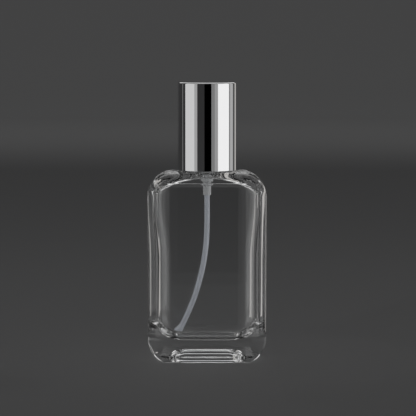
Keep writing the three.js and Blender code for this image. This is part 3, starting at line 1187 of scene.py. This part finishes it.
@dataclass
class Button:
    """The press button: plastic core, bright skin and nozzle."""

    finishes: Finishes
    lip_z: float = 75.5
    radius: float = 6.0
    skin_radius: float = 6.45
    bottom: float = 8.3
    top: float = 19.3
    nozzle: float = 17.0

    def core(self) -> bpy.types.Object:
        """The moulded core with its stem socket and nozzle pocket."""
        z = self.lip_z
        piece = turned(
            "button_core",
            [
                Corner(0, z + self.nozzle + 0.4),
                Corner(0.6, z + self.nozzle + 0.4, 0.1),
                Corner(0.6, z + 15.3, 0.05),
                Corner(1.55, z + 15.3, 0.05),
                Corner(1.55, z + 11.7, 0.15),
                Corner(2.6, z + 11.7, 0.15),
                Corner(2.6, z + 15.5, 0.3),
                Corner(5.2, z + 15.5, 0.3),
                Corner(5.2, z + self.bottom, 0.15),
                Corner(self.radius, z + self.bottom, 0.15),
                Corner(self.radius, z + self.top, 0.35),
                Corner(0, z + self.top),
            ],
            steps=128,
        )
        level = z + self.nozzle
        cut(piece, drill("nozzle_pocket", 1.9, -self.radius - 1, -3.4, level))
        cut(piece, drill("feed_hole", 0.45, -3.6, 0, level))
        return piece

    def skin(self) -> bpy.types.Object:
        """The bright metal skin, dished on top for the finger."""
        bore = self.radius + 0.08
        low, roof = self.lip_z + self.bottom, self.lip_z + self.top + 0.1
        piece = turned(
            "button_bright_skin",
            [
                Corner(0, roof),
                Corner(bore, roof, 0.1),
                Corner(bore, low, 0.1),
                Corner(self.skin_radius, low, 0.15),
                Corner(self.skin_radius, roof + 0.37, 0.45),
                Corner(self.skin_radius - 1.1, roof + 0.3, 0.4),
                Corner(0, roof + 0.22),
            ],
            steps=128,
        )
        hole = drill("nozzle_window", 2.15, -self.radius - 2, -3.4, self.lip_z + self.nozzle)
        cut(piece, hole)
        return piece

    def insert(self) -> bpy.types.Object:
        """The nozzle insert with its orifice."""
        length = 2.3
        mesh = spun(
            softened(
                [
                    Corner(1.8, 0, 0.1),
                    Corner(1.8, length, 0.25),
                    Corner(0.9, length, 0.1),
                    Corner(0.7, length - 0.2, 0.1),
                    Corner(0.15, length - 0.25, 0.03),
                    Corner(0.15, length - 0.6, 0.03),
                    Corner(1.2, length - 0.6, 0.1),
                    Corner(1.2, 0, 0.1),
                ],
                closed=True,
            ),
            closed=True,
            steps=64,
        )
        bmesh.ops.rotate(mesh, verts=mesh.verts, cent=(0, 0, 0), matrix=QUARTER_ABOUT_X)
        front = -self.radius - 0.1
        level = (self.lip_z + self.nozzle) * MM
        bmesh.ops.translate(mesh, verts=mesh.verts, vec=(0, (front + length) * MM, level))
        return finished("nozzle_cup", mesh)

    def build(self) -> list[bpy.types.Object]:
        """Builds the button's pieces and returns them."""
        f = self.finishes
        plan = [
            (self.core(), f.white, Slot.WHITE, "actuator"),
            (self.skin(), f.bright, Slot.BRIGHT, "actuator_sheath"),
            (self.insert(), f.white, Slot.WHITE, "nozzle_insert"),
        ]
        for piece, finish, slot, node in plan:
            dress(piece, finish, Body.BUTTON, slot, node)
        return [row[0] for row in plan]


@dataclass
class Cap:
    """The tall bright cap and the plastic liner that grips the collar."""

    finishes: Finishes
    radius: float = 10.4
    wall: float = 0.45
    bottom: float = 67.3
    top: float = 98.5
    edge: float = 0.55
    liner_radius: float = 9.85
    liner_bore: float = 8.78
    collar_radius: float = 8.6
    collar_top: float = 79.1
    ribs: int = 12
    rib_height: float = 0.1

    def shell(self) -> bpy.types.Object:
        """The thin bright shell."""
        inside = self.radius - self.wall
        return turned(
            "bright_cap_shell",
            [
                Corner(0, self.top - self.wall),
                Corner(inside, self.top - self.wall, 0.3),
                Corner(inside, self.bottom, 0.12),
                Corner(self.radius, self.bottom, 0.18),
                Corner(self.radius, self.top, self.edge),
                Corner(0, self.top),
            ],
            steps=256,
        )

    def liner(self) -> bpy.types.Object:
        """The liner, with a grip bead and ribs that centre it on the collar."""
        roof = self.top - self.wall - 0.2
        grip = self.collar_top - 4
        bead = self.collar_radius + 0.06
        corners = [
            Corner(0, roof - 1.2),
            Corner(self.liner_bore, roof - 1.2, 0.5),
            Corner(self.liner_bore, grip + 0.8, 0.2),
            Corner(bead, grip + 0.4, 0.15),
            Corner(bead, grip - 0.4, 0.15),
            Corner(self.liner_bore, grip - 0.8, 0.2),
            Corner(self.liner_bore, self.bottom + 0.9, 0.1),
            Corner(self.liner_bore + 0.4, self.bottom + 0.4, 0.1),
            Corner(self.liner_radius, self.bottom + 0.4, 0.15),
            Corner(self.liner_radius, roof, 0.3),
            Corner(0, roof),
        ]
        mesh = spun(softened(corners, closed=False), closed=False, steps=240)
        self._raise_ribs(mesh, grip + 1.2, roof - 2.0)
        return finished("ribbed_cap_liner", mesh)

    def _raise_ribs(self, mesh: bmesh.types.BMesh, low: float, high: float) -> None:
        """Raises upright ribs on the bore between two heights."""
        for z in (low, low + 0.4, high - 0.4, high):
            geometry = [*mesh.verts, *mesh.edges, *mesh.faces]
            bmesh.ops.bisect_plane(
                mesh, geom=geometry, dist=1e-7, plane_co=(0, 0, z * MM), plane_no=(0, 0, 1)
            )
        for vert in mesh.verts:
            reach = vert.co.to_2d().length
            on_bore = abs(reach - self.liner_bore * MM) < 0.02 * MM
            if not on_bore or not (low + 0.3) * MM < vert.co.z < (high - 0.3) * MM:
                continue
            wave = math.cos(self.ribs * math.atan2(vert.co.y, vert.co.x))
            lift = self.rib_height * max(0.0, wave) ** 4 * MM
            vert.co.x *= (reach - lift) / reach
            vert.co.y *= (reach - lift) / reach

    def build(self) -> list[bpy.types.Object]:
        """Builds the cap's pieces and returns them."""
        shell, liner = self.shell(), self.liner()
        dress(shell, self.finishes.bright, Body.CAP, Slot.BRIGHT, "cap_shell")
        dress(liner, self.finishes.white, Body.CAP, Slot.WHITE, "cap_liner")
        return [shell, liner]


# ---------------------------------------------------------------- studio


@dataclass(frozen=True)
class LightPanel:
    """A curved soft panel standing round the bottle, with a foot that runs in over the floor."""

    name: str
    start: float  # degrees from the camera's side, positive to the right
    end: float
    radiance: float
    colour: tuple[float, float, float] = (1.0, 1.0, 1.0)
    distance: float = 0.3
    foot: float = 0.08
    height: float = 0.3
    clearance: float = 0.0004

    def hang(self) -> bpy.types.Object:
        """Puts the panel in the scene and returns it."""
        mesh = bmesh.new()
        spots = [
            (self.foot, 0, self.clearance),
            (self.distance, 0, self.clearance),
            (self.distance, 0, self.height),
        ]
        verts = [mesh.verts.new(spot) for spot in spots]
        edges = [mesh.edges.new(pair) for pair in zip(verts, verts[1:])]
        span = math.radians(self.end - self.start)
        bmesh.ops.spin(
            mesh,
            geom=[*verts, *edges],
            cent=(0, 0, 0),
            axis=(0, 0, 1),
            angle=span,
            steps=max(4, math.ceil(math.degrees(span) / 2)),
            use_merge=False,
        )
        turn = Matrix.Rotation(math.radians(self.start - 90), 3, "Z")
        bmesh.ops.rotate(mesh, verts=mesh.verts, cent=(0, 0, 0), matrix=turn)
        panel = finished(self.name, mesh)
        panel.visible_camera = False
        panel.visible_diffuse = False
        panel.visible_shadow = False
        recipe = Recipe(self.name)
        recipe.set(Base_Color=(0, 0, 0, 1), Specular_IOR_Level=0.0, Roughness=1.0)
        recipe.set(Emission_Color=(*self.colour, 1), Emission_Strength=self.radiance)
        panel.data.materials.append(recipe.material)
        return panel


@dataclass
class Studio:
    """The plain floor, the soft lights and the camera."""

    camera_distance: float = 0.905
    camera_height: float = 0.125
    look_height: float = 0.0538
    camera_side: float = 0.00035
    half_view: float = 4.65
    floor_radius: float = 2.0
    wall_curve: float = 1.0
    wall_top: float = 1.4
    floor_shade: float = 0.33
    overhead_watts: float = 0.22
    wall_watts: float = 2.0
    fill_watts: float = 0.35
    room_light: tuple[float, float, float, float] = (0.12, 0.12, 0.122, 1.0)
    card_size: tuple[float, float, float] = (0.135, 0.3, 1.0)
    card_centre: tuple[float, float, float] = (0.018, -0.28, 0.151)
    panels: tuple[LightPanel, ...] = (
        LightPanel("key_right", 43.0, 95.0, 0.95),
        LightPanel("key_left", -93.0, -50.0, 0.62),
        LightPanel("key_left_edge", -50.0, -38.0, 0.38),
        LightPanel("fill_right_edge", 30.0, 43.0, 0.33),
        LightPanel("fill_right", 17.0, 30.0, 0.21),
        LightPanel("rear_right_edge", 95.0, 101.0, 0.18),
        LightPanel("rear_right", 101.0, 121.0, 0.42),
        LightPanel("rear_dim", 121.0, 137.0, 0.08),
        LightPanel("rear_strip", 137.0, 155.0, 0.46, (1.0, 0.97, 0.94)),
        LightPanel("rear_left_strip", -112.0, -107.0, 0.16),
        LightPanel("rear_top", 140.0, 220.0, 0.9, foot=0.12, clearance=0.34, height=0.2),
    )

    def sweep(self) -> bpy.types.Object:
        """The pale floor, curving up all round into a wall."""
        profile = [
            Corner(0, 0),
            Corner((self.floor_radius + self.wall_curve) / MM, 0, self.wall_curve / MM),
            Corner((self.floor_radius + self.wall_curve) / MM, self.wall_top / MM),
        ]
        mesh = spun(softened(profile, closed=False), closed=False, steps=128)
        bmesh.ops.recalc_face_normals(mesh, faces=mesh.faces)
        sweep = finished("studio_floor", mesh)
        recipe = Recipe("studio_paper")
        shade = self.floor_shade
        fibres = recipe.noise(recipe.place(), 350.0, 4.0)
        recipe.set(Roughness=0.85, Specular_IOR_Level=0.1)
        tone = recipe.tint(fibres, (shade * 0.985,) * 3, (shade,) * 3)
        recipe.feed(tone, "Base Color")
        sweep.data.materials.append(recipe.material)
        return sweep

    def black_card(self) -> None:
        """The dark card round the camera, which only mirror reflections see."""
        mesh = bmesh.new()
        bmesh.ops.create_grid(mesh, x_segments=1, y_segments=1, size=0.5)
        bmesh.ops.scale(mesh, verts=mesh.verts, vec=self.card_size)
        bmesh.ops.rotate(mesh, verts=mesh.verts, cent=(0, 0, 0), matrix=QUARTER_ABOUT_X)
        bmesh.ops.translate(mesh, verts=mesh.verts, vec=self.card_centre)
        card = finished("black_card", mesh)
        recipe = Recipe("black_velvet")
        weave = recipe.noise(recipe.place(), 900.0, 2.0)
        recipe.set(Roughness=1.0, Specular_IOR_Level=0.0)
        recipe.feed(recipe.tint(weave, (0.002,) * 3, (0.004,) * 3), "Base Color")
        card.data.materials.append(recipe.material)
        card.visible_camera = False
        card.visible_diffuse = False
        card.visible_shadow = False

    def soft_light(
        self, name: str, size: float, watts: float, spot: Sequence[float], aim: Sequence[float]
    ) -> bpy.types.Object:
        """Hangs a square soft light that the camera doesn't see.

        Args:
            name: its name.
            size: the length of its side.
            watts: its power.
            spot: where it hangs.
            aim: the direction it shines in.

        Returns:
            The light.
        """
        light = bpy.data.lights.new(name, "AREA")
        light.shape = "SQUARE"
        light.size = size
        light.energy = watts
        lamp = bpy.data.objects.new(name, light)
        bpy.context.scene.collection.objects.link(lamp)
        lamp.location = spot
        lamp.rotation_mode = "QUATERNION"
        lamp.rotation_quaternion = Vector(aim).to_track_quat("-Z", "Y")
        lamp.visible_camera = False
        return lamp

    def lamps(self, receivers: bpy.types.Collection) -> None:
        """Hangs the light overhead, the wall's own light and the two soft fills.

        Args:
            receivers: the collection that keeps the fills' light off the floor.
        """
        self.soft_light("overhead", 0.4, self.overhead_watts, (0, 0.02, 0.6), (0, 0, -1))
        self.soft_light("wall_wash", 1.6, self.wall_watts, (0, 1.6, 1.1), (0, 1.4, -0.7))
        for side in (-1, 1):
            spot = (side * 0.45, -0.35, 0.2)
            aim = [-axis for axis in spot]
            fill = self.soft_light(f"fill_{side}", 0.3, self.fill_watts, spot, aim)
            # only the dull materials see the fills
            fill.visible_glossy = False
            fill.visible_transmission = False
            fill.light_linking.receiver_collection = receivers

    def surround(self) -> None:
        """The dim grey light of the room."""
        world = bpy.data.worlds.new("dim_room")
        world.use_nodes = True
        background = world.node_tree.nodes["Background"]
        background.inputs["Color"].default_value = self.room_light
        background.inputs["Strength"].default_value = 1.0
        bpy.context.scene.world = world

    def camera(self) -> None:
        """The camera, a long lens from a little above."""
        data = bpy.data.cameras.new("studio_camera")
        data.sensor_width = 36.0
        data.lens = data.sensor_width / 2 / math.tan(math.radians(self.half_view))
        data.clip_start, data.clip_end = 0.01, 20
        camera = bpy.data.objects.new("studio_camera", data)
        bpy.context.scene.collection.objects.link(camera)
        camera.location = (self.camera_side, -self.camera_distance, self.camera_height)
        target = Vector((self.camera_side, 0, self.look_height))
        camera.rotation_mode = "QUATERNION"
        camera.rotation_quaternion = (target - camera.location).to_track_quat("-Z", "Y")
        bpy.context.scene.camera = camera

    def set_up(self) -> None:
        """Builds the whole studio."""
        flagged = bpy.data.collections.new("kept_off_the_floor")
        flagged.objects.link(self.sweep())
        flagged.collection_objects[0].light_linking.link_state = "EXCLUDE"
        self.black_card()
        for panel in self.panels:
            panel.hang().light_linking.receiver_collection = flagged
        self.lamps(flagged)
        self.surround()
        self.camera()
        scene = bpy.context.scene
        scene.view_settings.view_transform = "Standard"
        scene.cycles.max_bounces = 32
        scene.cycles.transmission_bounces = 32
        scene.cycles.glossy_bounces = 12
        scene.cycles.transparent_max_bounces = 32


def main() -> None:
    """Builds the bottle's sub-assemblies and the studio, and reports each piece."""
    logging.basicConfig(level=logging.INFO, format="%(name)s: %(message)s")
    Studio().set_up()
    finishes = Finishes()
    makers = (GlassBottle(finishes), Pump(finishes), DipTube(finishes), Button(finishes), Cap(finishes))
    for maker in makers:
        for piece in maker.build():
            LOG.info("%s: %s, %d faces", type(maker).__name__, piece.name, len(piece.data.polygons))


if __name__ == "__main__":
    main()
